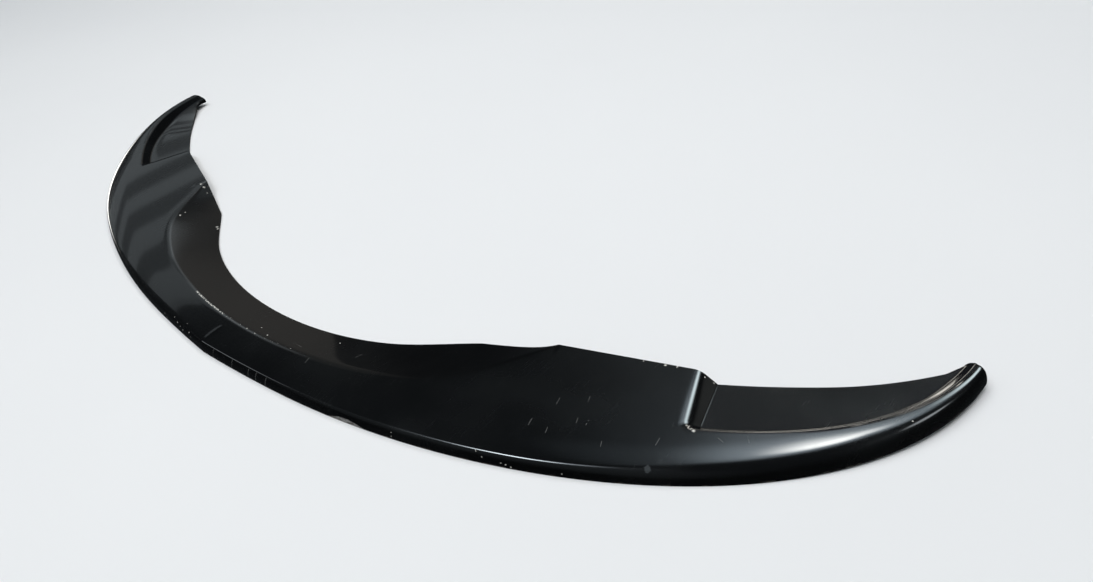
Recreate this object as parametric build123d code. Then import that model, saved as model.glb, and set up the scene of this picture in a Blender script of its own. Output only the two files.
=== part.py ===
from build123d import *
import os
from math import atan2, cos, radians, sin, sqrt, tan

# Front splitter lip: one moulded glass-fibre skin, hollow and open underneath.
# Millimetres, +Z up. The front edge faces -Y and the origin lies under the middle of the lip.
# Until it is placed, a point is given by x from the centre line and y as setback from the nose.

# Overall form
overall_width = 1600.0
overall_depth = 448.0
deck_height = 19.0
wall = 4.0

# Front edge: an ellipse with a faint point on the centre line
nose_reach = 3.5
nose_half_width = 150.0
front_lean = 3.0

# Crown: the deck rises from the crease at the front, first steeply and then gently
crown_rise = 4.0
crown_width = 38.0
tip_crown_rise = 2.0
tip_crown_width = 13.0
shoulder_share = 0.36
shoulder_rise_share = 0.55
shoulder_radius = 25.0

# Crease between the front face and the deck, which opens into a roll before each tip
crease_radius = 2.0
roll_radius = 9.0
roll_start_angle = 36.0
roll_end_angle = 88.0

# Tips: the ends lift off the ground and stop at a leaning face
tip_width = 23.0
tip_skew = 12.0
tip_lean = 10.0
tip_lift = 7.0
tip_lift_run = 160.0

# Scoop: a ramp that falls from the ridge to the rear edge
ridge_setback = 50.0
ridge_side_x = 245.0
ridge_side_setback = 88.0
ridge_knee_x = 335.0
ridge_knee_setback = 138.0
ridge_radius = 40.0
scoop_setback = 103.0
scoop_side_x = 203.0
scoop_side_setback = 143.0
scoop_corner_x = 307.0
scoop_corner_setback = 207.0
scoop_edge_height = 2.5
ramp_end_run = 34.0

# Ears: flat lands between the scoop and the pockets, which carry the bumper
ear_start_x = 390.0
ear_start_setback = 238.0
ear_end_inset = 222.0
ear_end_setback = 297.0
notch_length = 16.0

# Pockets: sunk panels between the ears and the rims of the tips
rim_width = 57.0
tip_rim_width = 20.0
rim_taper = 1.5
step_angle = 51.8
step_land = 2.0
pocket_slope = 45.0
pocket_corner_radius = 8.0
pocket_edge_radius = 8.0
panel_edge_height = 2.5
panel_tip_height = 13.0
panel_fall = 4.5
panel_sag = 7.0
panel_end_inset = 35.0
panel_end_gap = 26.0

# Worked-out values
half_width = overall_width / 2
tip_setback = overall_depth - tip_skew
ellipse_depth = tip_setback - nose_reach
lift_start = half_width - tip_lift_run
lift_radius = (tip_lift_run ** 2 + tip_lift ** 2) / (2 * tip_lift)
slope = radians(pocket_slope)
overrun = deck_height + tip_lift
tall = deck_height + tip_lift + overrun
ear_start = Vector(ear_start_x, ear_start_setback)
ear_end = Vector(half_width - ear_end_inset, ear_end_setback)
panel_end = Vector(half_width - panel_end_inset, overall_depth - panel_end_gap)
rim_end = Vector(half_width - tip_width, overall_depth)
panel_along = (panel_end - ear_end).normalized()
panel_forward = Vector(panel_along.Y, -panel_along.X)
scoop_edge = [
    Vector(0, scoop_setback),
    Vector(scoop_side_x, scoop_side_setback),
    Vector(scoop_corner_x, scoop_corner_setback),
]


def blend(start, end, share):
    return start + (end - start) * share


def spread(start, end, steps):
    """Evenly spaced values from start to end."""
    return [blend(start, end, step / steps) for step in range(steps + 1)]


def raised(point, height):
    return Vector(point.X, point.Y, height)


def inward_direction(angle):
    """Plan direction from the front edge to the inside, by ellipse angle from nose to tip."""
    turn = radians(angle)
    return Vector(-ellipse_depth * sin(turn), half_width * cos(turn)).normalized()


def front_point(angle, inward):
    """Plan point at a distance inside the front edge."""
    turn = radians(angle)
    across = half_width * sin(turn)
    nose = nose_reach * max(0.0, 1 - across / nose_half_width) ** 2
    edge = Vector(across, tip_setback - ellipse_depth * cos(turn) - nose)
    return edge + inward_direction(angle) * inward


def lift_at(across):
    """How far the lip has lifted off the ground, in an arc towards each tip."""
    run = min(max(0.0, across - lift_start), tip_lift_run)
    return lift_radius - sqrt(lift_radius ** 2 - run ** 2)


def nose_section(angle, along, skin):
    """What lies outside the front face and above the crown, cut square to the front edge."""
    share = max(0.0, angle / 90)
    inward = inward_direction(angle)
    origin = front_point(angle, skin) + Vector(inward.Y, -inward.X) * along
    plane = Plane(origin=raised(origin, 0), x_dir=inward, z_dir=(inward.Y, -inward.X, 0))
    width = blend(crown_width, tip_crown_width, share ** 3)
    rise = blend(crown_rise, tip_crown_rise, share ** 4)
    crease = deck_height + lift_at(origin.X) - skin - rise
    roll_share = (angle - roll_start_angle) / (roll_end_angle - roll_start_angle)
    roll_share = min(1.0, max(0.0, roll_share))
    roll = blend(crease_radius, roll_radius, sin(radians(180 * roll_share)) ** 2)
    lean = front_lean / deck_height
    foot = Vector(-overrun * lean, -overrun)
    edge = Vector(crease * lean, crease)
    shoulder = edge + Vector(width * shoulder_share, rise * shoulder_rise_share)
    top = edge + Vector(width, rise)
    end = top + (top - shoulder).normalized() * overrun
    radii = [max(crease_radius, roll - skin), shoulder_radius]
    surface = FilletPolyline(foot, edge, shoulder, end, radius=radii)
    outside = Polyline(end, (end.X, tall), (-overrun, tall), (-overrun, -overrun), foot)
    return plane * make_face(surface + outside)


def nose_cutter(skin):
    """Everything outside the front face and the crown, from the centre line past the tip."""
    sections = [nose_section(angle, 0, skin) for angle in spread(-2, 90, 13)]
    sections.append(nose_section(90, overrun, skin))
    return loft(sections)


def mirrored(points):
    """The same points carried over the centre line, for a curve that is smooth across it."""
    return [Vector(-point.X, point.Y) for point in reversed(points[1:])] + points


def ramp_cutter(skin):
    """Everything above the scoop's ramp, a ruled surface from the ridge to the rear edge."""
    knee = Vector(ridge_knee_x, ridge_knee_setback)
    ridge_end = ear_start - Vector(0, notch_length)
    past_ridge = ridge_end + (ridge_end - knee).normalized() * (notch_length + overrun)
    past_corner = past_ridge - Vector(ramp_end_run, 0)
    side = Vector(ridge_side_x, ridge_side_setback)
    ridge = Spline(mirrored([Vector(0, ridge_setback), side, knee, ridge_end, past_ridge]))
    foot = Spline(mirrored(scoop_edge + [past_corner]))
    high = []
    low = []
    for share in spread(0, 1, 12):
        top = raised(ridge @ share, deck_height - skin)
        bottom = raised(foot @ share, scoop_edge_height - skin)
        reach = (top - bottom).normalized() * overrun
        high.append(top + reach)
        low.append(bottom - reach)
    ramp = Face.make_surface_from_curves(Spline(high).edge(), Spline(low).edge())
    return extrude(ramp, amount=tall, dir=(0, 0, 1))


def rim_point(angle, level, skin):
    """Plan point on the sloping inner wall of a rim, at a level above the ground."""
    share = min(1.0, max(0.0, (angle - step_angle) / (90 - step_angle)))
    width = blend(tip_rim_width, rim_width, (1 - share) ** rim_taper)
    return front_point(angle, width + (deck_height - level) / tan(slope) - skin / sin(slope))


def rim_area(level, skin):
    """Plan area behind the inner wall of a rim, at one level."""
    points = [rim_point(angle, level, skin) for angle in spread(step_angle * 2 / 3, 90, 6)]
    far = overall_depth + overrun
    rest = Polyline(points[-1], (points[-1].X, far), (points[0].X, far), points[0])
    return Pos(0, 0, level) * make_face(Spline(points) + rest)


def panel_space(skin):
    """Everything above a pocket's panel, which falls to the rear and lifts towards the tip."""
    half_length = (panel_end - ear_end).length / 2
    rise = panel_tip_height - panel_edge_height
    radius = (half_length ** 2 + rise ** 2) / (2 * rise)
    fall = radians(panel_fall)
    low = panel_edge_height - skin - overrun * tan(fall)
    far = half_length + overrun
    high = low + radius - sqrt(radius ** 2 - far ** 2)
    flat = Line((-half_length, low), (half_length, low))
    lift = TangentArc(flat @ 1, (half_length + far, high), tangent=(1, 0))
    rest = Polyline(lift @ 1, (half_length + far, tall), (-half_length, tall), flat @ 0)
    origin = raised(ear_end - panel_forward * overrun, 0)
    plane = Plane(origin=origin, x_dir=panel_along, z_dir=panel_forward)
    forward = raised(panel_forward * cos(fall), sin(fall))
    return extrude(plane * make_face(flat + lift + rest), amount=overall_depth / 2, dir=forward)


def step_rear():
    """Plan point where the top of the step meets the rear edge."""
    run = (deck_height - panel_edge_height) / tan(slope) + step_land
    return ear_end - (ear_end - ear_start).normalized() * run


def step_plane(skin):
    """The sloping wall between an ear and its pocket."""
    corner = rim_point(step_angle, deck_height, 0)
    along = (step_rear() - corner).normalized()
    normal = Vector(along.Y * sin(slope), -along.X * sin(slope), cos(slope))
    return Plane(origin=raised(corner, deck_height) - normal * skin, z_dir=normal)


def edge_near(body, point):
    return body.edges().sort_by_distance(point)[0]


def pocket_cutter(skin):
    """The sunk space between an ear, its rim and the panel, with a rounded inside corner."""
    walls = loft([rim_area(-overrun, skin), rim_area(tall - overrun, skin)], ruled=True)
    space = split(walls & panel_space(skin), bisect_by=step_plane(skin), keep=Keep.TOP)
    corner = raised(rim_point(step_angle, deck_height, skin), deck_height)
    return fillet(edge_near(space, corner), pocket_corner_radius + skin)


def tip_plane(skin):
    """The leaning end face of a tip."""
    lean = atan2(tip_lean, deck_height)
    rear = Vector(tip_skew, tip_width).normalized()
    normal = raised(rear * cos(lean), sin(lean))
    return Plane(origin=Vector(half_width, tip_setback, tip_lift) - normal * skin, z_dir=normal)


def lift_line(level):
    """Side view of a level that rises in an arc at the tip."""
    flat = Line((-overrun, level), (lift_start, level))
    lift = TangentArc(flat @ 1, (half_width, level + tip_lift), tangent=(1, 0))
    return [flat, lift, Line(lift @ 1, lift @ 1 + Vector(overrun, 0))]


def deck_slab(floor, skin):
    """The space from the floor to the deck, with both lifted together at the tip."""
    bottom = lift_line(floor)
    top = lift_line(deck_height - skin)
    ends = [Line(bottom[0] @ 0, top[0] @ 0), Line(bottom[-1] @ 1, top[-1] @ 1)]
    side = Plane(origin=(0, overall_depth + overrun, 0), x_dir=(1, 0, 0), z_dir=(0, -1, 0))
    return extrude(side * make_face(bottom + top + ends), amount=overall_depth + 2 * overrun)


def front_allowance(start_angle):
    """Plan curve a little outside the front edge, where the raw blank ends."""
    return Spline([front_point(angle, -overrun / 2) for angle in spread(start_angle, 90, 8)])


def outline():
    """Plan of one half, with the trimmed rear edge of the moulding."""
    front = front_allowance(0)
    scoop = Spline(scoop_edge, tangents=((1, 0), scoop_edge[2] - scoop_edge[1]))
    ear = Polyline(scoop_edge[-1], ear_start, ear_end)
    panel_middle = (ear_end + panel_end) / 2 + panel_forward * panel_sag
    panel = ThreePointArc(ear_end, panel_middle, panel_end)
    past_rim = rim_end + (rim_end - panel_end).normalized() * overrun
    tip = Polyline(panel_end, past_rim, (half_width + overrun, overall_depth + overrun), front @ 1)
    return make_face([front, scoop, ear, panel, tip, Line(front @ 0, scoop_edge[0])])


def hollow_outline():
    """Plan of the hollow, which runs out past the rear edge so that the skin stays open there."""
    front = front_allowance(-1)
    start = front @ 0
    end = front @ 1
    far = overall_depth + overrun
    return make_face(front + Polyline(end, (end.X, far), (start.X, far), start))


def form(plan, floor, skin):
    """One half of the lip as a solid, with its front and top set in by a skin."""
    body = extrude(Pos(0, 0, floor) * plan, amount=tall) & deck_slab(floor, skin)
    body -= nose_cutter(skin)
    body -= ramp_cutter(skin)
    body -= pocket_cutter(skin)
    return split(body, bisect_by=tip_plane(skin), keep=Keep.BOTTOM)


def edges_along(body, points):
    """The edges that pass nearest to a row of points, each one once."""
    found = []
    for point in points:
        edge = edge_near(body, point)
        if edge not in found:
            found.append(edge)
    return found


def soften(body):
    """Round the ridge and the top edges of the step and the rim."""
    body = fillet(edge_near(body, (ridge_side_x, ridge_side_setback, deck_height)), ridge_radius)
    corner = rim_point(step_angle, deck_height, 0)
    points = [raised((corner + step_rear()) / 2, deck_height), raised(corner, deck_height)]
    for angle in spread(step_angle, 90, 8)[1:-1]:
        level = deck_height + lift_at(rim_point(angle, deck_height, 0).X)
        points.append(raised(rim_point(angle, level, 0), level))
    return fillet(edges_along(body, points), pocket_edge_radius)


outside = soften(form(outline(), 0, 0))
hollow = form(hollow_outline(), -overrun / 2, wall)
half = outside - hollow
splitter_lip = Pos(0, -overall_depth / 2, 0) * (half + mirror(half, about=Plane.YZ))

os.makedirs("parts", exist_ok=True)
export_step(splitter_lip, "parts/splitter_lip.step")
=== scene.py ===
# %% [markdown]
# # A front splitter lip
# The lip is one moulded skin of glass fibre, painted gloss black. It hangs under a car's front bumper.
# The CAD part gives its exact place and size, so it is loaded first, as the frame for all the rest.

# %% Load the packed part
import bmesh
import bpy
from functools import reduce
from math import cos, pi, radians, sin, sqrt, tan
from mathutils import Matrix, Vector


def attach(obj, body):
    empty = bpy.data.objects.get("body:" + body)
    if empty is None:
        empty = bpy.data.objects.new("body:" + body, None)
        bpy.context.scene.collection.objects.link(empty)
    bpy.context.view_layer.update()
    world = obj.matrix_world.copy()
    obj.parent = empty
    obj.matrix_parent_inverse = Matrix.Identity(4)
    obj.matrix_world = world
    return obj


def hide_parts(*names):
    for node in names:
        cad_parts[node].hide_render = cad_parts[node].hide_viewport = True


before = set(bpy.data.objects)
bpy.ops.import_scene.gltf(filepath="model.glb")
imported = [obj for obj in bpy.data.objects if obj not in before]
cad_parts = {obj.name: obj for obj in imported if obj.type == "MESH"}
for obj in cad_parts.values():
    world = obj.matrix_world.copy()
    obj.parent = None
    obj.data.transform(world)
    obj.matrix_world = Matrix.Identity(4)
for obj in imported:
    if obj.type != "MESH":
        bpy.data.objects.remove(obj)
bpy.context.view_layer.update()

mm = 0.001

# %% [markdown]
# ## Lines of the lip
# A glossy black skin shows every flat facet, so the lip is made again as a sheet of even quads that
# follows its own lines: the front edge, the ridge of the scoop, the rear edge, and the edge and foot of
# each pocket. The CAD mesh could be smoothed instead, but its triangles follow no lines, and mirrored
# light would ripple. All lines are in millimetres, with x from the centre line and y as setback from the
# nose. Only one half is drawn, because the other is its mirror image.

# %% Front edge
half_width = 800.0
tip_setback = 436.0
nose_reach = 3.5
nose_half_width = 150.0
ellipse_depth = tip_setback - nose_reach


def inward(angle):
    turn = radians(angle)
    return Vector((-ellipse_depth * sin(turn), half_width * cos(turn), 0)).normalized()


def front_edge(angle, inset=0.0):
    turn = radians(angle)
    across = half_width * sin(turn)
    nose = nose_reach * max(0.0, 1 - across / nose_half_width) ** 2
    setback = tip_setback - ellipse_depth * cos(turn) - nose
    return Vector((across, setback, 0)) + inward(angle) * inset


print("front edge at 45 degrees:", [round(value) for value in front_edge(45)])

# %% Height of the deck
deck_height = 19.0
tip_lift = 7.0
tip_lift_run = 160.0
lift_radius = (tip_lift_run ** 2 + tip_lift ** 2) / (2 * tip_lift)


def lift_at(across):
    run = min(max(0.0, across - half_width + tip_lift_run), tip_lift_run)
    return lift_radius - sqrt(lift_radius ** 2 - run ** 2)


print("lift at the tip:", round(lift_at(half_width), 1), "mm")

# %% [markdown]
# ## Scoop
# The middle of the deck is a shallow scoop that falls from a curved ridge to a low rear edge.
# Both lines could be drawn as curve objects, but their points would have to be read back from them,
# so a small function joins a few points by a smooth curve.

# %% Ridge of the scoop
ridge_points = [(0, 50), (128, 60), (245, 88), (335, 138), (390, 222), (403, 242)]


def flat(across, setback, height=0.0):
    return Vector((across, setback, height))


# Each span is a cubic between two points, and it shares its slope at each point with the next span.
def curve_through(points, start_slope):
    gaps = [(after - before).length for before, after in zip(points, points[1:])]
    chords = [(after - before) / gap for before, after, gap in zip(points, points[1:], gaps)]
    slopes = [start_slope]
    for span in range(1, len(gaps)):
        before, after = gaps[span - 1], gaps[span]
        slopes.append((chords[span - 1] * after + chords[span] * before) / (before + after))
    slopes.append(chords[-1])

    def at(share):
        left = share * sum(gaps)
        span = 0
        while span < len(gaps) - 1 and left > gaps[span]:
            left -= gaps[span]
            span += 1
        gap = gaps[span]
        step = left / gap
        rest = 1 - step
        first = points[span] * (1 + 2 * step) + slopes[span] * gap * step
        second = points[span + 1] * (3 - 2 * step) - slopes[span + 1] * gap * rest
        return first * rest ** 2 + second * step ** 2

    return at


square_to_centre = flat(1, 0)
ridge_line = [flat(*point, deck_height) for point in ridge_points]
ridge = curve_through(ridge_line, square_to_centre)
ridge_meets_rear = ridge_line[-1]
print("ridge halfway:", [round(value) for value in ridge(0.5)])

# %% Rear edge of the scoop
scoop_edge_points = [(0, 103), (203, 143), (307, 207)]
scoop_edge_height = 2.5
scoop_edge_share = 0.78
scoop_end_rise = 6.5
scoop_end_power = 4
scoop_last_rise = deck_height - scoop_edge_height - scoop_end_rise
scoop_edge_line = [flat(*point, scoop_edge_height) for point in scoop_edge_points]
scoop_edge = curve_through(scoop_edge_line, square_to_centre)
scoop_corner = scoop_edge_line[-1]


def raised(point, height):
    return Vector((point.x, point.y, height))


def scoop_rear(share):
    if share < scoop_edge_share:
        return scoop_edge(share / scoop_edge_share)
    rest = (share - scoop_edge_share) / (1 - scoop_edge_share)
    point = scoop_corner.lerp(ridge_meets_rear, rest)
    rise = scoop_end_rise * rest + scoop_last_rise * rest ** scoop_end_power
    return raised(point, scoop_edge_height + rise)


print("rear edge of the scoop halfway:", [round(value) for value in scoop_rear(0.5)])

# %% [markdown]
# ## Pockets
# Past each ear the deck steps down into a sunk pocket, and a rim runs round it to the lifted tip.
# The floor of the pocket slopes a little and curls up towards the tip. A boolean could cut the pocket out,
# but its cut would break the even quads, so the edge and the foot of its wall are two more lines.

# %% Floor of the pocket
ear_end = flat(578, 297)
panel_end = flat(765, 422)
panel_edge_height = 2.5
panel_tip_height = 13.0
panel_slope = tan(radians(4.5))
panel_sag = 7.0
panel_along = (panel_end - ear_end).normalized()
panel_forward = Vector((panel_along.y, -panel_along.x, 0))
panel_half = (panel_end - ear_end).length / 2
panel_rise = panel_tip_height - panel_edge_height
panel_radius = (panel_half ** 2 + panel_rise ** 2) / (2 * panel_rise)


def panel_height(point):
    offset = raised(point, 0) - ear_end
    run = max(0.0, offset.dot(panel_along) - panel_half)
    curl = panel_radius - sqrt(panel_radius ** 2 - run ** 2)
    return panel_edge_height + curl + offset.dot(panel_forward) * panel_slope


def panel_rear(share):
    sag = panel_forward * panel_sag * 4 * share * (1 - share)
    point = ear_end.lerp(panel_end, share) + sag
    return raised(point, panel_height(point))


print("floor of the pocket rises from", round(panel_rear(0).z, 1), "to", round(panel_rear(1).z, 1), "mm")

# %% Rim of the pocket
step_angle = 51.5
tip_angle = 90.0
rim_width = 57.0
tip_rim_width = 20.0
rim_taper = 1.5
tip_wall_share = 0.7
foot_passes = 3


def blend(start, end, share):
    return start + (end - start) * share


def rim_share(angle):
    return min(1.0, max(0.0, (angle - step_angle) / (tip_angle - step_angle)))


def rim_inset(angle):
    return blend(tip_rim_width, rim_width, (1 - rim_share(angle)) ** rim_taper)


def rim_edge(angle):
    lift = lift_at(front_edge(angle, rim_inset(angle)).x)
    return raised(front_edge(angle, rim_inset(angle) - lift), deck_height + lift)


# The reach of the wall depends on the floor's height at its foot, so the two are found in a few passes.
def rim_foot(angle):
    height = panel_height(front_edge(angle, rim_inset(angle) + deck_height / 2))
    for again in range(foot_passes):
        wall_run = (deck_height - height) * blend(1, tip_wall_share, rim_share(angle))
        point = front_edge(angle, rim_inset(angle) + wall_run)
        height = panel_height(point)
    return raised(point, height)


print("foot of the rim at the step:", [round(value) for value in rim_foot(step_angle)])

# %% [markdown]
# ## One section of the sheet
# A section runs from the foot of the front face, over the nose and the deck, down the ramp or the pocket's
# wall, to the rear edge. Each has the same number of points, so that sections side by side make quads.
# The nose is a superellipse under a crown that flattens inwards. A bevel could round it too, but here the
# rounding has to open from a tight crease at the centre into a wide roll near the tips.

# %% Insets over the nose
nose_rows = 16
crown_rows = 6
crown_width = 37.0
nose_width = 5.5
roll_width = 20.0
roll_start_angle = 36.0
roll_end_angle = 64.0
nose_power = 2.4
nose_limit_share = 0.7


def ease(share):
    share = min(1.0, max(0.0, share))
    return share * share * (3 - 2 * share)


def nose_at(angle, width):
    roll = ease((angle - roll_start_angle) / (roll_end_angle - roll_start_angle))
    return min(blend(nose_width, roll_width, roll), nose_limit_share * width)


def front_insets(nose, width):
    turns = [pi / 2 * row / nose_rows for row in range(nose_rows)]
    insets = [nose * (1 - cos(turn) ** (2 / nose_power)) for turn in turns]
    return insets + [blend(nose, width, row / crown_rows) for row in range(crown_rows + 1)]


noses = [nose_at(angle, crown_width) for angle in (0, tip_angle)]
print("width of the nose at the centre and at the tip:", noses)

# %% Front of a section
crown_rise = 4.0
keel_rise = 0.5
keel_half_width = 6.0
tip_width = 23.0
tip_skew = 12.0
tip_lean = 3.0


def front_foot(angle):
    point = front_edge(angle)
    return raised(point, lift_at(point.x))


# Near the tip the sections are swept back, and their upper points lean a little forward.
def skewed(point, start, weight):
    inset = (raised(point, 0) - raised(start, 0)).length
    shift = tip_skew * inset / tip_width - tip_lean * (point.z - start.z) / deck_height
    return point + Vector((0, weight * shift, 0))


def front_rows(angle, limit, skew):
    start = front_foot(angle)
    width = min(crown_width, limit)
    nose = nose_at(angle, width)
    keel = keel_rise * max(0.0, 1 - start.x / keel_half_width) ** 2
    points = []
    for inset in front_insets(nose, width):
        round_share = (1 - max(0.0, 1 - inset / nose) ** nose_power) ** (1 / nose_power)
        crown_share = 1 - (1 - inset / width) ** 2
        point = start + inward(angle) * inset
        height = lift_at(point.x) + (deck_height - crown_rise) * round_share + crown_rise * crown_share
        height += keel * sin(pi * inset / width)
        points.append(skewed(raised(point, height), start, skew))
    return points


print("points over the nose and the crown:", len(front_rows(0, crown_width, 0)))

# %% Rows of a section
deck_rows = 5
edge_rows = 8
wall_rows = 3
foot_rows = 4
floor_rows = 5
skirt_rows = 2
deck_end_row = nose_rows + crown_rows + deck_rows
edge_row = deck_end_row + edge_rows // 2
last_row = deck_end_row + edge_rows + wall_rows + foot_rows + floor_rows + skirt_rows
foot_limit_share = 0.45


def straight(start, end, steps):
    return [start.lerp(end, step / steps) for step in range(1, steps + 1)]


def bend(start, corner, end, steps):
    shares = [step / steps for step in range(1, steps + 1)]
    return [start.lerp(corner, share).lerp(corner.lerp(end, share), share) for share in shares]


def section(angle, edge, foot, rear, edge_radius, foot_radius, limit=crown_width, skew=0.0, skirt=0.0):
    points = front_rows(angle, limit, skew)
    deck_end = edge - raised(foot - edge, 0).normalized() * edge_radius
    wall_start = edge + (foot - edge).normalized() * edge_radius
    foot_radius = min(foot_radius, foot_limit_share * (rear - foot).length)
    wall_end = foot + (edge - foot).normalized() * foot_radius
    floor_start = foot + (rear - foot).normalized() * foot_radius
    points += straight(points[-1], deck_end, deck_rows)
    points += bend(deck_end, edge, wall_start, edge_rows)
    points += straight(wall_start, wall_end, wall_rows)
    points += bend(wall_end, foot, floor_start, foot_rows)
    points += straight(floor_start, rear, floor_rows)
    points += straight(rear, rear - Vector((0, 0, skirt)), skirt_rows)
    return points


print("points in a section:", last_row + 1)

# %% [markdown]
# ## Sections side by side
# The sections follow each other from the centre line to the tip: over the scoop, along the ear, along the
# step and round its corner, along the rim of the pocket, and over the rounded end of the tip. They could
# be evenly spaced, but they lie closer together where the shape turns, so that its edges stay smooth.

# %% Sections of the scoop
ear_angle = 37.0
ridge_round = 6.0
ridge_limit_share = 0.3
scoop_columns = 80
column_spread = 1.4
sections = []
for column in range(scoop_columns + 1):
    share = (column / scoop_columns) ** column_spread
    top, rear = ridge(share), scoop_rear(share)
    rounding = min(ridge_round, ridge_limit_share * (rear - top).length)
    sections.append(section(ear_angle * share, top, (top + rear) / 2, rear, rounding, 0))
print("sections over the scoop:", len(sections))

# %% Sections of the ear
step_start_angle = 46.0
step_round = 8.0
step_extra_run = 2.0
ear_columns = 24
ear_start = flat(390, 238)
ear_along = (ear_end - ear_start).normalized()
step_run = deck_height - panel_edge_height + step_extra_run
step_rear = raised(ear_end - ear_along * step_run, deck_height)
ear_last = step_rear - ear_along * step_round
for column in range(1, ear_columns):
    share = column / ear_columns
    edge = ridge_meets_rear.lerp(ear_last, share)
    sections.append(section(blend(ear_angle, step_start_angle, share), edge, edge, edge, 0, 0))
print("sections up to the step:", len(sections))

# %% Sections of the step
step_columns = 22
foot_angle = 52.9
corner_span = 0.8
corner_round = 12.0
foot_round = 1.6
edge_turn_share = 0.1
foot_turn_share = 0.08
rear_at_corner = 0.1
panel_share = 0.94
tip_rear = flat(775.5, 440.0, 15.0)
corner_edge = rim_edge(step_angle)
corner_foot = rim_foot(foot_angle)
step_foot_rear = raised(ear_end, panel_edge_height)
edge_turn = corner_edge.lerp(step_rear, edge_turn_share)
foot_turn = corner_foot.lerp(step_foot_rear, foot_turn_share)


def pocket_rear(share):
    if share < panel_share:
        return panel_rear(share / panel_share)
    return panel_rear(1.0).lerp(tip_rear, (share - panel_share) / (1 - panel_share))


for column in range(step_columns):
    share = column / step_columns
    angle = blend(step_start_angle, step_angle - corner_span, share)
    edge = step_rear.lerp(edge_turn, share)
    foot = step_foot_rear.lerp(foot_turn, share)
    rounding = blend(step_round, corner_round, share)
    sections.append(section(angle, edge, foot, pocket_rear(rear_at_corner * share), rounding, foot_round))
print("sections of the step:", step_columns)

# %% Sections round the corner
corner_columns = 10
rear_past_corner = 0.14
rim_round = 2.4
foot_past_corner = foot_angle + corner_span / 2
edge_corner = bend(edge_turn, corner_edge, rim_edge(step_angle + corner_span), corner_columns)
foot_corner = bend(foot_turn, corner_foot, rim_foot(foot_past_corner), corner_columns)
for column, (edge, foot) in enumerate(zip([edge_turn] + edge_corner, [foot_turn] + foot_corner)):
    share = column / corner_columns
    angle = blend(step_angle - corner_span, step_angle + corner_span, share)
    rear = pocket_rear(blend(rear_at_corner, rear_past_corner, share))
    rounding = blend(corner_round, rim_round, share)
    sections.append(section(angle, edge, foot, rear, rounding, foot_round))
print("sections round the corner:", corner_columns + 1)

# %% Sections along the rim
rim_columns = 120
tip_cut_angle = 89.6
skew_start = 0.75
skirt_start = 0.87
crown_margin = 0.5
skew_margin = 1.5
for column in range(1, rim_columns + 1):
    share = column / rim_columns
    angle = blend(step_angle + corner_span, tip_cut_angle, share)
    start = front_foot(angle)
    top = rim_edge(angle)
    skew = ease((share - skew_start) / (1 - skew_start))
    limit = (top - raised(start, top.z)).length - rim_round - crown_margin - skew_margin * skew
    edge = skewed(top, start, skew)
    foot = skewed(rim_foot(blend(foot_past_corner, tip_cut_angle, share)), start, skew)
    rear_share = blend(rear_past_corner, 1, share)
    rear = pocket_rear(rear_share)
    skirt = (rear.z - start.z) * max(0.0, (rear_share - skirt_start) / (1 - skirt_start))
    sections.append(section(angle, edge, foot, rear, rim_round, foot_round, limit, skew, skirt))
print("sections up to the tip:", len(sections))

# %% Rounded end of the tip
end_columns = 12
end_reach = 6.0
end_power = 2.8
end_narrowing = 0.15
end_direction = Vector((tip_skew, tip_width, 0)).normalized()
tip_section = sections[-1]
for column in range(1, end_columns + 1):
    turn = pi / 2 * column / end_columns
    reach = end_reach * sin(turn) ** (2 / end_power)
    shrink = cos(turn) ** (2 / end_power) if column < end_columns else 0.0
    points = []
    for point in tip_section:
        moved = point + end_direction * reach
        moved.x = blend(tip_section[-1].x, point.x, blend(1 - end_narrowing, 1, shrink))
        moved.z = blend(tip_section[0].z, point.z, shrink)
        points.append(moved)
    sections.append(points)
print("sections in one half:", len(sections))

# %% [markdown]
# ## The sheet and its wall
# A grid operator gives the quads, and each corner of the grid is moved to its place on a section.
# The ears end at the deck, so the quads past their edge are deleted. Then the half is mirrored, and its
# seam is merged. The laminate has a thickness, so the sheet gets a wall. Solid faces could be drawn for
# it, but a Solidify modifier keeps the sheet simple. Where the skin comes down to the ground its wall is
# thinner, so that the lip still rests on it.

# %% Half a sheet
overall_depth = 448.0


def placed(point):
    return Vector((point.x, point.y - overall_depth / 2, point.z)) * mm


# The grid runs from -1 to 1 both ways, so a corner's place in it gives its column and its row.
columns = len(sections) - 1
sheet = bmesh.new()
bmesh.ops.create_grid(sheet, x_segments=columns, y_segments=last_row, size=1)
sheet.verts.index_update()
grid_place = {}
for corner in sheet.verts:
    column = round((corner.co.x + 1) / 2 * columns)
    row = round((corner.co.y + 1) / 2 * last_row)
    grid_place[corner.index] = (column, row)
    corner.co = placed(sections[column][row])
print("corners in one half:", len(grid_place))

# %% Distances for the wear
# Each corner keeps its distance over the surface from the front foot and from the ridge or rim edge.
edge_layer = sheet.verts.layers.float.new("from_edge")
front_layer = sheet.verts.layers.float.new("from_front")
run_across = []
for points in sections:
    run = [0.0]
    for before, after in zip(points, points[1:]):
        run.append(run[-1] + (after - before).length)
    run_across.append(run)
for corner in sheet.verts:
    column, row = grid_place[corner.index]
    run = run_across[column]
    corner[edge_layer] = (run[row] - run[edge_row]) * mm
    corner[front_layer] = run[row] * mm
print("longest way over the skin:", round(max(run[-1] for run in run_across)), "mm")

# %% Open space behind the ear
behind_ear = []
for face in sheet.faces:
    column = min(grid_place[corner.index][0] for corner in face.verts)
    row = min(grid_place[corner.index][1] for corner in face.verts)
    if scoop_columns <= column < scoop_columns + ear_columns and row >= deck_end_row:
        behind_ear.append(face)
bmesh.ops.delete(sheet, geom=behind_ear, context="FACES")
print("quads in one half:", len(sheet.faces))

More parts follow.
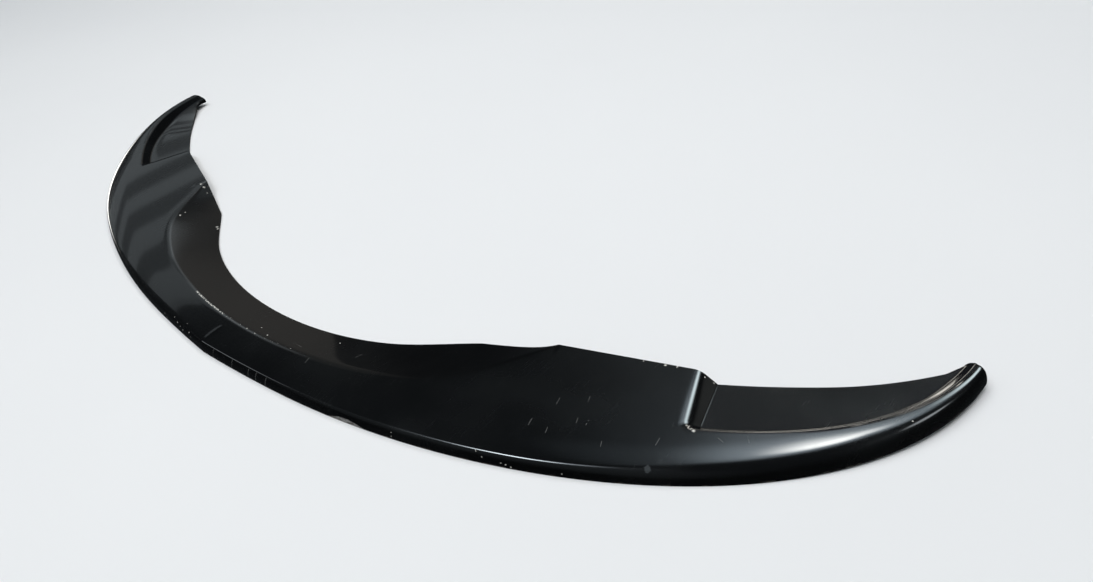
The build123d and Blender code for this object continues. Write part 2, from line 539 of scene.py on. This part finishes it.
# %% Both halves
merge_distance = 0.02 * mm
seam_distance = 0.1 * mm
sharp_angle = radians(50)
bmesh.ops.remove_doubles(sheet, verts=sheet.verts, dist=merge_distance)
half = sheet.verts[:] + sheet.edges[:] + sheet.faces[:]
bmesh.ops.mirror(sheet, geom=half, axis="X", merge_dist=seam_distance)
bmesh.ops.remove_doubles(sheet, verts=sheet.verts, dist=merge_distance)
bmesh.ops.recalc_face_normals(sheet, faces=sheet.faces)
upward_area = sum(face.normal.z * face.calc_area() for face in sheet.faces)
if upward_area < 0:
    bmesh.ops.reverse_faces(sheet, faces=sheet.faces)
bmesh.ops.dissolve_degenerate(sheet, dist=merge_distance, edges=sheet.edges)
for face in sheet.faces:
    face.smooth = True
for edge in sheet.edges:
    edge.smooth = not edge.is_boundary and edge.calc_face_angle(0) < sharp_angle
print("faces in the sheet:", len(sheet.faces), "over", round(abs(upward_area), 3), "square metres")

# %% Wall of the skin
wall = 4.0 * mm
facing_up = 0.5
lip_mesh = bpy.data.meshes.new("lip_skin")
sheet.to_mesh(lip_mesh)
sheet.free()
lip = bpy.data.objects.new("lip_skin", lip_mesh)
bpy.context.scene.collection.objects.link(lip)
wall_share = lip.vertex_groups.new(name="wall_share")
for corner in lip_mesh.vertices:
    share = min(1.0, corner.co.z / wall) if corner.normal.z > facing_up else 1.0
    wall_share.add([corner.index], share, "REPLACE")
wall_modifier = lip.modifiers.new("wall", "SOLIDIFY")
wall_modifier.thickness = wall
wall_modifier.offset = -1
wall_modifier.use_even_offset = False
wall_modifier.vertex_group = wall_share.name
wall_modifier.thickness_vertex_group = 0.0
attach(lip, "root")
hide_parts("splitter_lip")
print("highest point:", round(max(corner.co.z for corner in lip_mesh.vertices) / mm, 1), "mm")

# %% [markdown]
# ## Shader sums
# The sky of the studio, the paint and the raw laminate are all sums of masks. Node by node that is hard
# to read, so one small class wraps a socket: plus, minus and times then add Math nodes, and `node` adds
# the rest.

# %% A class for shader sums
class Shade:
    def __init__(self, tree, socket=None):
        self.tree = tree
        self.socket = socket

    def node(self, kind, settings, sockets, output=0):
        made = self.tree.nodes.new("ShaderNode" + kind)
        for name, value in settings.items():
            setattr(made, name, value)
        for name, value in sockets.items():
            if isinstance(value, Shade):
                self.tree.links.new(value.socket, made.inputs[name])
            else:
                made.inputs[name].default_value = value
        return Shade(self.tree, made.outputs[output])

    def math(self, operation, first, second=0.0):
        return self.node("Math", {"operation": operation}, {0: first, 1: second})

    def __add__(self, other):
        return self.math("ADD", self, other)

    def __sub__(self, other):
        return self.math("SUBTRACT", self, other)

    def __rsub__(self, other):
        return self.math("SUBTRACT", other, self)

    def __mul__(self, other):
        return self.math("MULTIPLY", self, other)

    def __abs__(self):
        return self.math("ABSOLUTE", self)

    __radd__ = __add__
    __rmul__ = __mul__

    def either(self, other):
        return self.math("MAXIMUM", self, other)

    # A smooth step from 0 at low to 1 at high. With low above high, the mask falls instead.
    def rise(self, low, high):
        ends = {"Value": self, "From Min": low, "From Max": high}
        return self.node("MapRange", {"interpolation_type": "SMOOTHSTEP"}, ends)

    def between(self, low, high, soft):
        return self.rise(low - soft, low) * self.rise(high + soft, high)

    def vector(self, operation, other, output=0):
        return self.node("VectorMath", {"operation": operation}, {0: self, 1: other}, output)

    # In a Mix node, sockets 6 and 7 take its two colours, and output 2 gives the mixed one.
    def mix(self, under, over, blend_type="MIX"):
        settings = {"data_type": "RGBA", "blend_type": blend_type}
        return self.node("Mix", settings, {0: self, 6: under, 7: over}, 2)


print("methods of the class:", [name for name in vars(Shade) if not name.startswith("_")])

# %% [markdown]
# ## Camera and sky
# The camera stands in front of the near tip and looks down along the lip, as in the photograph. Its place
# and its directions were fitted to the outline there.
# Black gloss shows nothing but its surroundings. A picture of a room could be wrapped round the scene, but
# a painted sky can be tuned for each face: it is dim, with soft glows where single faces mirror it.

# %% Camera
photo_width = 1093
focal_pixels = 825
sensor_width = 36
right = Vector((0.7428978, 0.65372619, -0.14403102))
down = Vector((0.31027398, -0.52692773, -0.79125042))
ahead = Vector((-0.59315506, 0.54312912, -0.59428768))
eye = Vector((0.932431, -0.470851, 0.629411))
camera = bpy.data.objects.new("camera", bpy.data.cameras.new("camera"))
bpy.context.scene.collection.objects.link(camera)
camera.matrix_world = Matrix.Translation(eye) @ Matrix((right, -down, -ahead)).transposed().to_4x4()
camera.data.sensor_width = sensor_width
camera.data.lens = focal_pixels / photo_width * sensor_width
bpy.context.scene.camera = camera
bpy.context.scene.view_settings.view_transform = "Standard"
print("camera height:", round(eye.z, 2), "m, lens", round(camera.data.lens, 1), "mm")

# %% Sky of the studio
front_wall = (0.0, -0.9, 0.45)
over_rim = (-0.18, 0.47, 0.86)
over_panel = (-0.45, 0.67, 0.59)
over_crease = (-0.2, -0.45, 0.87)
over_nose = (-0.75, -0.4, 0.53)
beside_tip = (0.58, 0.3, 0.76)
left_edge = (-0.995, 0.03, 0.03)
# Each glow has its direction, its width in degrees and its light.
glows = [
    (front_wall, 50, (0.1, 0.115, 0.125, 1)),
    (over_rim, 22, (0.3, 0.36, 0.4, 1)),
    (over_panel, 14, (0.14, 0.155, 0.16, 1)),
    (over_crease, 16, (3.4, 3.8, 4.2, 1)),
    (over_nose, 9, (1.5, 1.6, 1.7, 1)),
    (beside_tip, 10, (4.0, 4.3, 4.5, 1)),
    (left_edge, 12, (6.0, 6.0, 5.8, 1)),
]
sky_low_tone = (0.016, 0.018, 0.02, 1)
sky_high_tone = (0.045, 0.053, 0.06, 1)
sky_levels = (0.3, 0.95)

world = bpy.data.worlds.new("studio")
bpy.context.scene.world = world
world.use_nodes = True
sky = Shade(world.node_tree)
towards = sky.node("TexCoord", {}, {}, "Generated")
upward = sky.node("SeparateXYZ", {}, {"Vector": towards}, "Z")
sky_colour = upward.rise(*sky_levels).mix(sky_low_tone, sky_high_tone)
for aim, width, light in glows:
    facing = towards.vector("DOT_PRODUCT", tuple(Vector(aim).normalized()), "Value")
    sky_colour = facing.rise(cos(radians(width)), 1.0).mix(sky_colour, light, "ADD")
world.node_tree.links.new(sky_colour.socket, world.node_tree.nodes["Background"].inputs["Color"])
print("glows in the sky:", len(glows))

# %% [markdown]
# ## Floor and strip lights
# The lip lies on a pale floor that curls up far away, like the paper sweep of a studio. A plane would
# carry the shadow as well, but its far edge would show. One large light above gives the soft shadow.
# The paint mirrors neither the floor nor that light, because they would wash out its black.
# Four dim strips to the left, with a weak light behind them, are mirrored as bands on the far half.

# %% Floor
floor_radius = 5.0
floor_segments = 96
bend_radius = 1.5
bend_steps = 12
floor_mesh = bpy.data.meshes.new("floor")
ground = bmesh.new()
bmesh.ops.create_circle(ground, cap_ends=True, radius=floor_radius, segments=floor_segments)
border = [edge for edge in ground.edges if edge.is_boundary]
stride = 2 * bend_radius * sin(pi / 4 / bend_steps)
for step in range(bend_steps):
    turn = pi / 2 * (step + 0.5) / bend_steps
    grown = bmesh.ops.extrude_edge_only(ground, edges=border)["geom"]
    border = [item for item in grown if isinstance(item, bmesh.types.BMEdge)]
    for corner in [item for item in grown if isinstance(item, bmesh.types.BMVert)]:
        out = raised(corner.co, 0).normalized()
        corner.co += out * stride * cos(turn) + Vector((0, 0, stride * sin(turn)))
bmesh.ops.recalc_face_normals(ground, faces=ground.faces)
for face in ground.faces:
    face.smooth = True
ground.to_mesh(floor_mesh)
ground.free()
floor = bpy.data.objects.new("floor", floor_mesh)
bpy.context.scene.collection.objects.link(floor)
floor.visible_glossy = False
print("faces in the floor:", len(floor_mesh.polygons))

# %% Light above and strips to the left
cool_white = (0.85, 0.95, 1.0)
strip_wall = -3.0
strip_side = 0.66
strip_length = 1.38
strip_radiance = 0.22
strips = [(0.86, 1.03), (1.1, 1.17), (1.26, 1.38), (1.52, 1.8)]
backing_wall = -3.1
backing_radiance = 0.07
backing = (0.8, 1.8)


# A light's energy is in watts and is spread over its area, so it grows with the area to stay as bright.
def softbox(name, place, target, size, radiance, colour=(1, 1, 1)):
    light = bpy.data.lights.new(name, "AREA")
    light.shape = "RECTANGLE"
    light.size, light.size_y = size
    light.energy = radiance * pi * size[0] * size[1]
    light.color = colour
    box = bpy.data.objects.new(name, light)
    bpy.context.scene.collection.objects.link(box)
    box.location = place
    box.rotation_euler = (Vector(target) - Vector(place)).to_track_quat("-Z", "Y").to_euler()
    box.visible_camera = False
    return box


def wall_light(name, wall_place, bottom, top, radiance):
    middle = (bottom + top) / 2
    place = (wall_place, strip_side, middle)
    target = (0, strip_side, middle)
    softbox(name, place, target, (strip_length, top - bottom), radiance, cool_white)


floor_light = softbox("floor_light", place=(0, 0, 3.5), target=(0, 0, 0), size=(4, 4), radiance=2.5)
floor_light.visible_glossy = False
for bottom, top in strips:
    wall_light("strip", strip_wall, bottom, top, strip_radiance)
wall_light("backing", backing_wall, *backing, backing_radiance)
print("strip lights:", len(strips))

# %% [markdown]
# ## Cards that fade
# A plain area light is mirrored as a box with hard edges, but the highlights on the lip are soft. So these
# lights fade from their middle to their border, as a lit sheet of card does. Each stands where the
# camera's ray goes once it is mirrored at a spot on the lip: on the near rim, the step and its wall, the
# pocket or the front crease. Two more stand further off, for the far ridge and for a warm tint on the
# ramp. All are hidden from matt surfaces, so that the floor stays even.

# %% Round cards
card_middle = (0.5, 0.5, 0)
card_fade = (0.5, 0)
rim_spot = (0.717, 0.05, 0.021)
step_spot = (0.577, 0.026, 0.019)
wall_spot = (0.584, 0.043, 0.009)
pocket_spot = (0.64, 0.04, 0.007)
crease_spot = (0.478, -0.13, 0.016)
centre = (0, 0, 0)
# Each card has its place, the spot it faces, its size, its radiance and its colour.
cards = {
    "rim_halo": ((0.538, 0.539, 0.874), rim_spot, (0.78, 0.78), 4.2, (0.74, 0.89, 1.0)),
    "rim_core": ((0.574, 0.441, 0.703), rim_spot, (0.3, 0.3), 16, (1.0, 0.98, 0.93)),
    "step_card": ((0.597, 1.546, 1.319), step_spot, (0.7, 0.7), 11, (0.82, 0.96, 1.0)),
    "wall_card": ((0.77, 0.5, 0.105), wall_spot, (0.4, 0.3), 0.18, (0.95, 1.0, 0.97)),
    "pocket_card": ((0.33, 0.66, 0.2), pocket_spot, (0.44, 0.12), 9, (1.0, 0.96, 0.88)),
    "crease_card": ((0.31, -0.53, 0.69), crease_spot, (0.44, 0.44), 25, cool_white),
    "ridge_card": ((-3, 1.3, 1.75), centre, (0.5, 1.0), 0.5, cool_white),
}


def fading_card(name, place, target, size, radiance, colour):
    card = softbox(name, place, target, size, radiance, colour)
    card.visible_diffuse = False
    card.data.use_nodes = True
    tree = card.data.node_tree
    return tree.nodes["Emission"], Shade(tree).node("NewGeometry", {}, {}, "Parametric")


for name, card in cards.items():
    emission, on_card = fading_card(name, *card)
    fade = on_card.vector("DISTANCE", card_middle, "Value").rise(*card_fade)
    fade.tree.links.new(fade.socket, emission.inputs["Strength"])
print("round cards:", len(cards))

# %% Warm card
warm_place = (-1.704, 0.876, 0.95)
warm_target = (0, -0.06, 0.95)
warm_size = (0.5, 1.1)
warm_radiance = 0.13
warm_white = (1.0, 0.94, 0.86)
warm_loss = 0.68
warm_levels = (0.2, 0.8)
emission, on_card = fading_card("warm_card", warm_place, warm_target, warm_size, warm_radiance, warm_white)
up_the_card = on_card.node("SeparateXYZ", {}, {"Vector": on_card}, "Y")
fade = 1 - warm_loss * up_the_card.rise(*warm_levels)
fade.tree.links.new(fade.socket, emission.inputs["Strength"])
print("lights:", len(bpy.data.lights))

# %% [markdown]
# ## Gloss black paint
# The lip is sprayed black over its laminate and has been on the road: stones have chipped the ridge, the
# step and the front edge down to the pale coat below, a kerb has scraped the foot of the front face, and
# fine scratches lie on the deck. A painted image could hold all that, but masks stay sharp however close
# the camera comes. Marks along an edge use the sheet's own distances, and single marks have their place in
# millimetres.

# %% Paint and its measures
def new_finish(name):
    material = bpy.data.materials.new(name)
    material.use_nodes = True
    return material, material.node_tree.nodes["Principled BSDF"], Shade(material.node_tree)


paint, paint_shader, coat = new_finish("gloss_black_paint")
position = coat.node("TexCoord", {}, {}, "Object")
across = coat.node("SeparateXYZ", {}, {"Vector": position}, "X")
up = coat.node("SeparateXYZ", {}, {"Vector": position}, "Z")
from_edge = coat.node("Attribute", {"attribute_name": "from_edge"}, {}, "Fac")
from_front = coat.node("Attribute", {"attribute_name": "from_front"}, {}, "Fac")
print("paint starts with", len(paint.node_tree.nodes), "nodes")

# %% Worn ridge
worn_start = -106 * mm
worn_end = -24 * mm
dotted_end = 130 * mm
wear_fade = 4 * mm
ridge_shift = 0.5 * mm
ridge_fade = (1.6 * mm, 0.6 * mm)
worn_levels = (0.45, 0.52)
dotted_levels = (0.66, 0.7)


def noise(where, scale, detail=2.0, output="Fac"):
    return where.node("TexNoise", {}, {"Vector": where, "Scale": scale, "Detail": detail}, output)


speckle = noise(position, scale=420.0)
near_ridge = abs(from_edge - ridge_shift).rise(*ridge_fade)
worn_ridge = across.between(worn_start, worn_end, wear_fade) * speckle.rise(*worn_levels)
dotted_ridge = across.between(worn_end, dotted_end, wear_fade) * speckle.rise(*dotted_levels)
chips = near_ridge * worn_ridge.either(dotted_ridge)
print("worn length of the ridge:", round((dotted_end - worn_start) / mm), "mm")

# %% Single chips
# Each chip has its place and its radius.
chip_spots = [
    (-404, 7, 19, 2.0), (-391, 5, 18, 2.6), (-376, 1, 14, 2.0), (-390, 12, 16, 1.8),
    (-341, -68, 17, 1.8), (-344, -57, 16, 1.2), (-271, -45, 3, 2.2), (-265, -48, 3, 1.8),
    (-115, -215, 10, 1.1), (-112, -216, 5, 0.9), (-84, -214, 16, 0.8), (-72, -217, 14, 1.0),
    (-63, -219, 12, 0.9), (-55, -220, 10, 0.9), (-52, -212, 17, 0.8), (-36, -219, 14, 1.1),
    (-33, -221, 9, 0.9), (54, -173, 19, 1.0), (46, -159, 15, 0.9), (70, -165, 17, 1.2),
    (156, -117, 8, 1.2), (333, -180, 10, 0.9), (332, -181, 4, 0.9), (433, -148, 14, 1.3),
    (440, -148, 9, 0.9), (460, -141, 6, 1.2), (465, -140, 5, 1.3), (470, -138, 3, 1.0),
    (520, -116, 5, 1.1), (592, -6, 19, 2.0), (598, -7, 19, 2.4), (602, -9, 19, 1.8),
    (564, 69, 16, 1.2), (567, 65, 14, 1.0), (575, 70, 6, 1.2), (525, 54, 19, 1.5),
    (537, 59, 19, 1.5), (501, 47, 19, 0.8), (766, 111, 22, 0.9),
]
chip_raggedness = 2.4
chip_outer_share = 0.9
chip_inner_share = 0.6
noise_middle = 0.5


def metres(values):
    return tuple(value * mm for value in values)


grit = noise(position, scale=700.0)
for x, y, z, radius in chip_spots:
    distance = position.vector("DISTANCE", metres((x, y, z)), "Value")
    ragged = distance + (grit - noise_middle) * (chip_raggedness * radius * mm)
    chips = chips.either(ragged.rise(chip_outer_share * radius * mm, chip_inner_share * radius * mm))
print("single chips:", len(chip_spots))

# %% Scratches on the deck
scratch_lines = [
    ((458, -95, 19), (455, -86, 19)), ((480, -93, 19), (477, -86, 19)), ((463, -56, 19), (460, -47, 19)),
    ((499, -68, 19), (495, -59, 19)), ((508, -62, 19), (506, -55, 19)), ((489, -35, 19), (486, -28, 19)),
    ((538, -76, 19), (535, -70, 19)), ((582, -45, 19), (580, -35, 19)), ((627, -4, 19), (633, -6, 19)),
    ((649, 13, 19), (656, 5, 19)), ((202, -126, 13), (202, -117, 11)), ((162, -170, 19), (159, -162, 19)),
    ((68, -156, 15), (129, -153, 16)),
]
scratch_fade = (0.5 * mm, 0.2 * mm)
broken_levels = (0.36, 0.5)


def scratch(start, end):
    along = Vector(end) - Vector(start)
    offset = position.vector("SUBTRACT", start)
    share = offset.vector("DOT_PRODUCT", tuple(along / along.length_squared), "Value")
    share = share.node("Clamp", {}, {"Value": share})
    nearest = share.node("VectorMath", {"operation": "SCALE"}, {0: tuple(along), "Scale": share})
    return offset.vector("DISTANCE", nearest, "Value").rise(*scratch_fade)


deck_scratches = [scratch(metres(start), metres(end)) for start, end in scratch_lines]
broken = noise(position, scale=240.0).rise(*broken_levels)
scratches = reduce(Shade.either, deck_scratches) * broken
print("scratches:", len(scratch_lines))

# %% Ticks on the front face
tick_places = (26, 67, 101, 116, 135)
tick_lean = 0.4
tick_middle = 8 * mm
tick_fade = (0.8 * mm, 0.3 * mm)
tick_strength = 0.7
tick_foot = 2 * mm
tick_top = 15 * mm
tick_end_fade = 1 * mm
on_front_face = from_front.between(tick_foot, tick_top, tick_end_fade)
for x in tick_places:
    tick = abs(across - x * mm - tick_lean * (up - tick_middle)).rise(*tick_fade)
    scratches = scratches.either(tick_strength * tick * on_front_face)
print("ticks:", len(tick_places))

# %% Kerb scrape and worn foot
scrape_middle = 268 * mm
scrape_half_length = 27 * mm
scrape_height = 7 * mm
scrape_raggedness = 3 * mm
scrape_fade = (0, 0.8 * mm)
scrape_grain_scale = (1100, 500, 500)
foot_fade = (2.4 * mm, 0.6 * mm)
foot_levels = (0.5, 0.62)
scrape_share = (across - scrape_middle) * (1 / scrape_half_length)
scrape_edge = scrape_height * (1 - scrape_share * scrape_share) - from_front
scrape = (scrape_edge + (speckle - noise_middle) * scrape_raggedness).rise(*scrape_fade)
scrape_grain = noise(position.vector("MULTIPLY", scrape_grain_scale), scale=1.0)
foot_wear = from_front.rise(*foot_fade) * noise(position, scale=60.0, detail=3.0).rise(*foot_levels)
print("paint now has", len(paint.node_tree.nodes), "nodes")

# %% Dull spot and haze
spot_place = (591, -71, 15)
spot_fade = (3.8 * mm, 2.6 * mm)
smudge_place = (597, -59, 18)
smudge_fade = (4 * mm, 2 * mm)
smudge_strength = 0.4
wander_reach = 7 * mm
swirl_scale = (260, 24, 60)
haze_levels = (0.4, 0.75)
swirl_levels = (0.56, 0.74)
wander = noise(position, scale=300.0, detail=3.0, output="Color").vector("SUBTRACT", (noise_middle,) * 3)
ragged_position = position.vector("ADD", wander.vector("MULTIPLY", (wander_reach,) * 3))
spot = ragged_position.vector("DISTANCE", metres(spot_place), "Value").rise(*spot_fade)
smudge = ragged_position.vector("DISTANCE", metres(smudge_place), "Value").rise(*smudge_fade)
dull_spot = spot.either(smudge_strength * smudge)
haze = noise(position, scale=7.0, detail=3.0).rise(*haze_levels)
swirls = noise(position.vector("MULTIPLY", swirl_scale), scale=1.0, detail=3.0).rise(*swirl_levels)
print("paint now has", len(paint.node_tree.nodes), "nodes")

# %% Colour of the paint
black = (0.0012, 0.0013, 0.0014, 1)
dust = (0.005, 0.0054, 0.0055, 1)
pale_coat = (0.62, 0.6, 0.55, 1)
scratch_grey = (0.14, 0.14, 0.135, 1)
scraped_dark = (0.07, 0.062, 0.05, 1)
scraped_pale = (0.33, 0.325, 0.31, 1)
spot_grey = (0.036, 0.04, 0.042, 1)
haze_dust = 0.6
swirl_dust = 0.12
scratch_strength = 0.65
grain_levels = (0.44, 0.56)
paint_colour = (haze * haze_dust + swirls * swirl_dust).mix(black, dust)
paint_colour = dull_spot.mix(paint_colour, spot_grey)
paint_colour = foot_wear.mix(paint_colour, scraped_dark)
paint_colour = scrape.mix(paint_colour, scrape_grain.rise(*grain_levels).mix(scraped_dark, scraped_pale))
paint_colour = (scratches * scratch_strength).mix(paint_colour, scratch_grey)
paint_colour = chips.mix(paint_colour, pale_coat)
print("paint now has", len(paint.node_tree.nodes), "nodes")

# %% Gloss and bumps of the paint
gloss_roughness = 0.2
haze_roughness = 0.12
swirl_roughness = 0.04
bare_roughness = 0.45
foot_bareness = 0.8
scratch_coat_loss = 0.5
spot_coat_loss = 0.6
wave_height = 0.09 * mm
peel_height = 0.005 * mm
bare_depth = 0.12 * mm


def bumps(height):
    return height.node("Bump", {}, {"Strength": 1.0, "Distance": 1.0, "Height": height}, "Normal")


def connect(material, shader, sockets):
    for name, shade in sockets.items():
        material.node_tree.links.new(shade.socket, shader.inputs[name])


bare = chips.either(scrape).either(foot_wear * foot_bareness)
roughness = gloss_roughness + haze * haze_roughness + swirls * swirl_roughness + bare * bare_roughness
coat_weight = 1 - bare.either(scratches * scratch_coat_loss).either(dull_spot * spot_coat_loss)
wave = noise(position, scale=16.0, detail=1.0) * wave_height
peel = noise(position, scale=320.0) * peel_height
paint_bumps = bumps(wave + peel - bare * bare_depth)
paint_sockets = {
    "Base Color": paint_colour,
    "Roughness": roughness,
    "Coat Weight": coat_weight,
    "Normal": paint_bumps,
}
connect(paint, paint_shader, paint_sockets)
paint_shader.inputs["IOR"].default_value = 1.5
paint_shader.inputs["Specular IOR Level"].default_value = 0.25
paint_shader.inputs["Coat Roughness"].default_value = 0.045
paint_shader.inputs["Coat IOR"].default_value = 1.5
lip_mesh.materials.append(paint)
print("paint has", len(paint.node_tree.nodes), "nodes")

# %% [markdown]
# ## Raw laminate
# Underneath, the moulding is left as it came from the tool: chopped glass strands in a dark resin, with a
# rough and slightly waxy face. Each strand could be a curve, but thousands would be needed. Here strands
# of one direction are a noise that is stretched along it, and three directions laid over each other look
# like a mat. The inner side of the wall and its trimmed rim take this finish.

# %% Strands and resin
strand_turns = (15, 75, 135)
strand_scale = (420, 26, 60)
strand_levels = (0.5, 0.68)
strand_strength = 0.75
cloud_levels = (0.3, 0.7)
resin_dark = (0.02, 0.02, 0.019, 1)
resin_pale = (0.042, 0.04, 0.036, 1)
strand_grey = (0.115, 0.11, 0.1, 1)
laminate, laminate_shader, mat = new_finish("raw_laminate")
mat_position = mat.node("TexCoord", {}, {}, "Object")
layers = []
for turn in strand_turns:
    spin = {"Vector": mat_position, "Rotation": (0, 0, radians(turn)), "Scale": strand_scale}
    layers.append(noise(mat.node("Mapping", {}, spin), scale=1.0).rise(*strand_levels))
strands = reduce(Shade.either, layers)
cloud = noise(mat_position, scale=9.0, detail=3.0).rise(*cloud_levels)
mat_colour = (strands * strand_strength).mix(cloud.mix(resin_dark, resin_pale), strand_grey)
print("layers of strands:", len(layers))

# %% Face of the laminate
resin_roughness = 0.62
strand_smoothness = 0.16
cloud_roughness = 0.08
strand_height = 0.25 * mm
resin_height = 0.3 * mm
mat_roughness = resin_roughness - strands * strand_smoothness + cloud * cloud_roughness
mat_bumps = bumps(strands * strand_height + noise(mat_position, scale=120.0, detail=3.0) * resin_height)
mat_sockets = {"Base Color": mat_colour, "Roughness": mat_roughness, "Normal": mat_bumps}
connect(laminate, laminate_shader, mat_sockets)
lip_mesh.materials.append(laminate)
wall_modifier.material_offset = 1
wall_modifier.material_offset_rim = 1
print("laminate has", len(laminate.node_tree.nodes), "nodes")

# %% [markdown]
# ## Floor finish
# The floor is only there to carry the lip and its soft shadow, so it is a pale matt paper. One plain
# colour would do as well, but a faint cloud of tone keeps it from looking empty.

# %% Floor paper
paper_white = (0.87, 0.87, 0.865, 1)
paper_grey = (0.83, 0.83, 0.83, 1)
paper, paper_shader, sweep = new_finish("floor_paper")
paper_cloud = noise(sweep.node("TexCoord", {}, {}, "Object"), scale=1.5, detail=3.0)
connect(paper, paper_shader, {"Base Color": paper_cloud.mix(paper_grey, paper_white)})
paper_shader.inputs["Roughness"].default_value = 0.95
paper_shader.inputs["Specular IOR Level"].default_value = 0.1
floor_mesh.materials.append(paper)
print("floor paper has", len(paper.node_tree.nodes), "nodes")

# %% [markdown]
